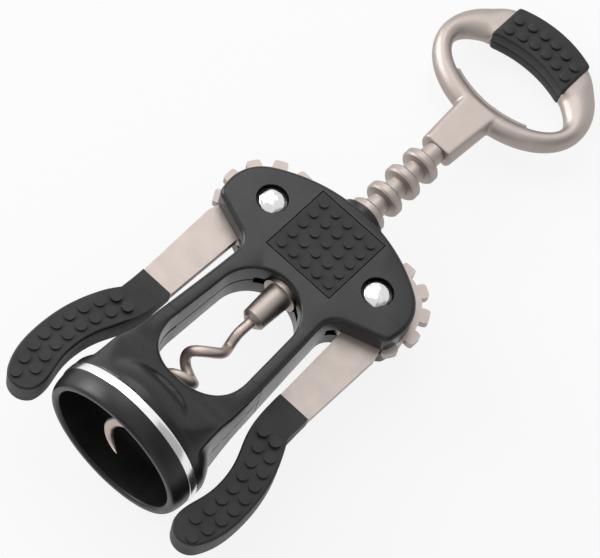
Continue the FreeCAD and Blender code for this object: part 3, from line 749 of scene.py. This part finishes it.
front_half = (seam_half_width, pad_half_thickness, 0.65)
rear_half = (-pad_half_thickness, -seam_half_width, 1.3)
core = (-core_half_thickness, core_half_thickness, 0.0)
pad_parts = []
for low, high, edge_round in (front_half, rear_half, core):
    tuck = 0.0 if edge_round else core_tuck
    part = block_in_slices(pad_slices, 2 * (pad_half_width - tuck), pad_depth - 2 * tuck, low, high)
    bpy.ops.object.mode_set(mode="EDIT")
    bpy.ops.mesh.select_all(action="SELECT")
    bpy.ops.mesh.dissolve_limited(angle_limit=math.radians(1.0))
    bpy.ops.object.mode_set(mode="OBJECT")
    if edge_round:
        rims = part.modifiers.new("rims", "BEVEL")
        rims.width = edge_round
        rims.segments = 5
        rims.limit_method = "WEIGHT"
        weights = part.data.attributes.new("bevel_weight_edge", "FLOAT", "EDGE")
        outside = pad_half_thickness if high > seam_half_width else -pad_half_thickness
        for line in part.data.edges:
            start, end = (part.data.vertices[k].co for k in line.vertices)
            on_face = abs(start.z - outside) < 0.01 and abs(end.z - outside) < 0.01
            corner = abs(start.z - end.z) > 0.1
            weights.data[line.index].value = 1.0 if on_face or corner else pad_side_bevel
        apply_all(part)
    only(part)
    for k in range(-pad_slices_each_side, pad_slices_each_side + 1):
        bpy.ops.object.mode_set(mode="EDIT")
        bpy.ops.mesh.select_all(action="SELECT")
        bpy.ops.mesh.bisect(plane_co=(k * pad_slice, 0.0, 0.0), plane_no=(1.0, 0.0, 0.0))
        bpy.ops.object.mode_set(mode="OBJECT")
    for vertex in part.data.vertices:
        vertex.co.y += pad_middle_y - arc_sag(vertex.co.x, pad_arc_radius)
    pad_parts.append(part)

for row_y in knob_rows:
    for k in range(knobs_per_row):
        x = (k - (knobs_per_row - 1) / 2) * knob_pitch
        y = row_y - arc_sag(x, knob_arc_radius)
        z = pad_half_thickness - knob_sunk + knob_height / 2
        bpy.ops.object.select_all(action="DESELECT")
        bpy.ops.mesh.primitive_cylinder_add(
            vertices=40, radius=knob_radius, depth=knob_height, location=(x, y, z),
        )
        knob = bpy.context.object
        place_in_mesh()
        round_edges(knob, knob_edge_round, 3)
        pad_parts.append(knob)
pad = joined("ring_pad", pad_parts)
lay(pad, "turning_group", soft)
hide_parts("handle_pad")


# ---------------------------------------------------------------------------------------------
# Bell liner. The moulded black sleeve pressed into the bell: its round lip is the mouth, it
# bellies out to the bell's diameter, holds the band in a groove and stops the bottle inside.
# ---------------------------------------------------------------------------------------------
mouth_radius = 15.5
lip_round = 0.8
belly_foot_radius = 16.9
belly_out = 1.28
belly_height = 4.3
groove_radius = 17.6
groove_top_y = 6.25
sleeve_radius = 16.6
sleeve_top_radius = 15.4
stop_radius = 8.0
stop_y = 9.0
sleeve_top_y = 10.2
spin_steps = 240


def spun(name, profile):
    """A closed profile of (radius, height) turned about the screw axis."""
    bpy.ops.object.select_all(action="DESELECT")
    bpy.ops.mesh.primitive_plane_add(size=1.0)
    piece = bpy.context.object
    bpy.ops.object.mode_set(mode="EDIT")
    bpy.ops.mesh.select_mode(type="VERT")
    bpy.ops.mesh.select_all(action="SELECT")
    bpy.ops.mesh.merge(type="CENTER")
    bpy.ops.transform.translate(value=(profile[0][0], profile[0][1], 0.0))
    for start, end in zip(profile, profile[1:]):
        move = (end[0] - start[0], end[1] - start[1], 0.0)
        bpy.ops.mesh.extrude_region_move(TRANSFORM_OT_translate={"value": move})
    bpy.ops.mesh.select_all(action="SELECT")
    bpy.ops.mesh.spin(
        steps=spin_steps, angle=math.radians(360.0), center=(0.0, 0.0, 0.0), axis=(0.0, 1.0, 0.0),
    )
    bpy.ops.mesh.select_all(action="SELECT")
    bpy.ops.mesh.remove_doubles(threshold=0.005)
    bpy.ops.mesh.normals_make_consistent(inside=False)
    bpy.ops.object.mode_set(mode="OBJECT")
    piece.name = name
    return piece


def quarter(centre_radius, top_y, out, degrees):
    """Points of a quarter round that starts at height 0, out from its centre radius."""
    turns = [math.radians(a) for a in degrees]
    return [(centre_radius + out * math.sin(a), top_y - top_y * math.cos(a)) for a in turns]


liner = finish_of(
    "liner_black",
    colour=(0.006, 0.006, 0.006), patch_colour=(0.010, 0.010, 0.010), worn_colour=(0.06, 0.06, 0.06),
    gloss=(0.30, 0.42), grain_mm=0.30, patch_mm=6.0, depth_mm=0.010, rub_mm=0.30, wear=0.35, glint=0.4,
)
dress(liner, "bell_liner")

lip = quarter(mouth_radius + lip_round, lip_round, -lip_round, range(90, -1, -15))
belly = quarter(belly_foot_radius, belly_height, belly_out, range(0, 91, 10))
sleeve = spun("spun_liner", [
    (stop_radius, stop_y), (mouth_radius, stop_y), *lip, *belly,
    (groove_radius, belly_height), (groove_radius, groove_top_y), (sleeve_radius, groove_top_y),
    (sleeve_radius, stop_y), (sleeve_top_radius, sleeve_top_y), (stop_radius, sleeve_top_y),
    (stop_radius, stop_y),
])
lay(sleeve, "frame", liner)
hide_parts("bell_liner")


# ---------------------------------------------------------------------------------------------
# Band. A rolled strip of bright chromed steel pressed into the liner's groove round the mouth of
# the bell, with its edges eased.
# ---------------------------------------------------------------------------------------------
band_radius = 18.45
band_foot_y = belly_height
band_top_y = 6.2
band_rim = ((0.15, 0.0), (0.03, 0.06), (0.0, 0.18))

chrome = finish_of(
    "bright_chrome",
    colour=(0.86, 0.86, 0.86), patch_colour=(0.90, 0.90, 0.90), worn_colour=(0.95, 0.95, 0.95),
    gloss=(0.16, 0.24), grain_mm=0.4, patch_mm=5.0, depth_mm=0.002, rub_mm=0.15, wear=0.3, metal=1.0,
)
dress(chrome, "bell_band")

foot_rim = [(band_radius - inwards, band_foot_y + along) for inwards, along in band_rim]
top_rim = [(band_radius - inwards, band_top_y - along) for inwards, along in reversed(band_rim)]
strip = spun("spun_band", [
    (groove_radius, band_foot_y), *foot_rim, *top_rim,
    (groove_radius, band_top_y), (groove_radius, band_foot_y),
])
lay(strip, "frame", chrome)
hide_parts("bell_band")
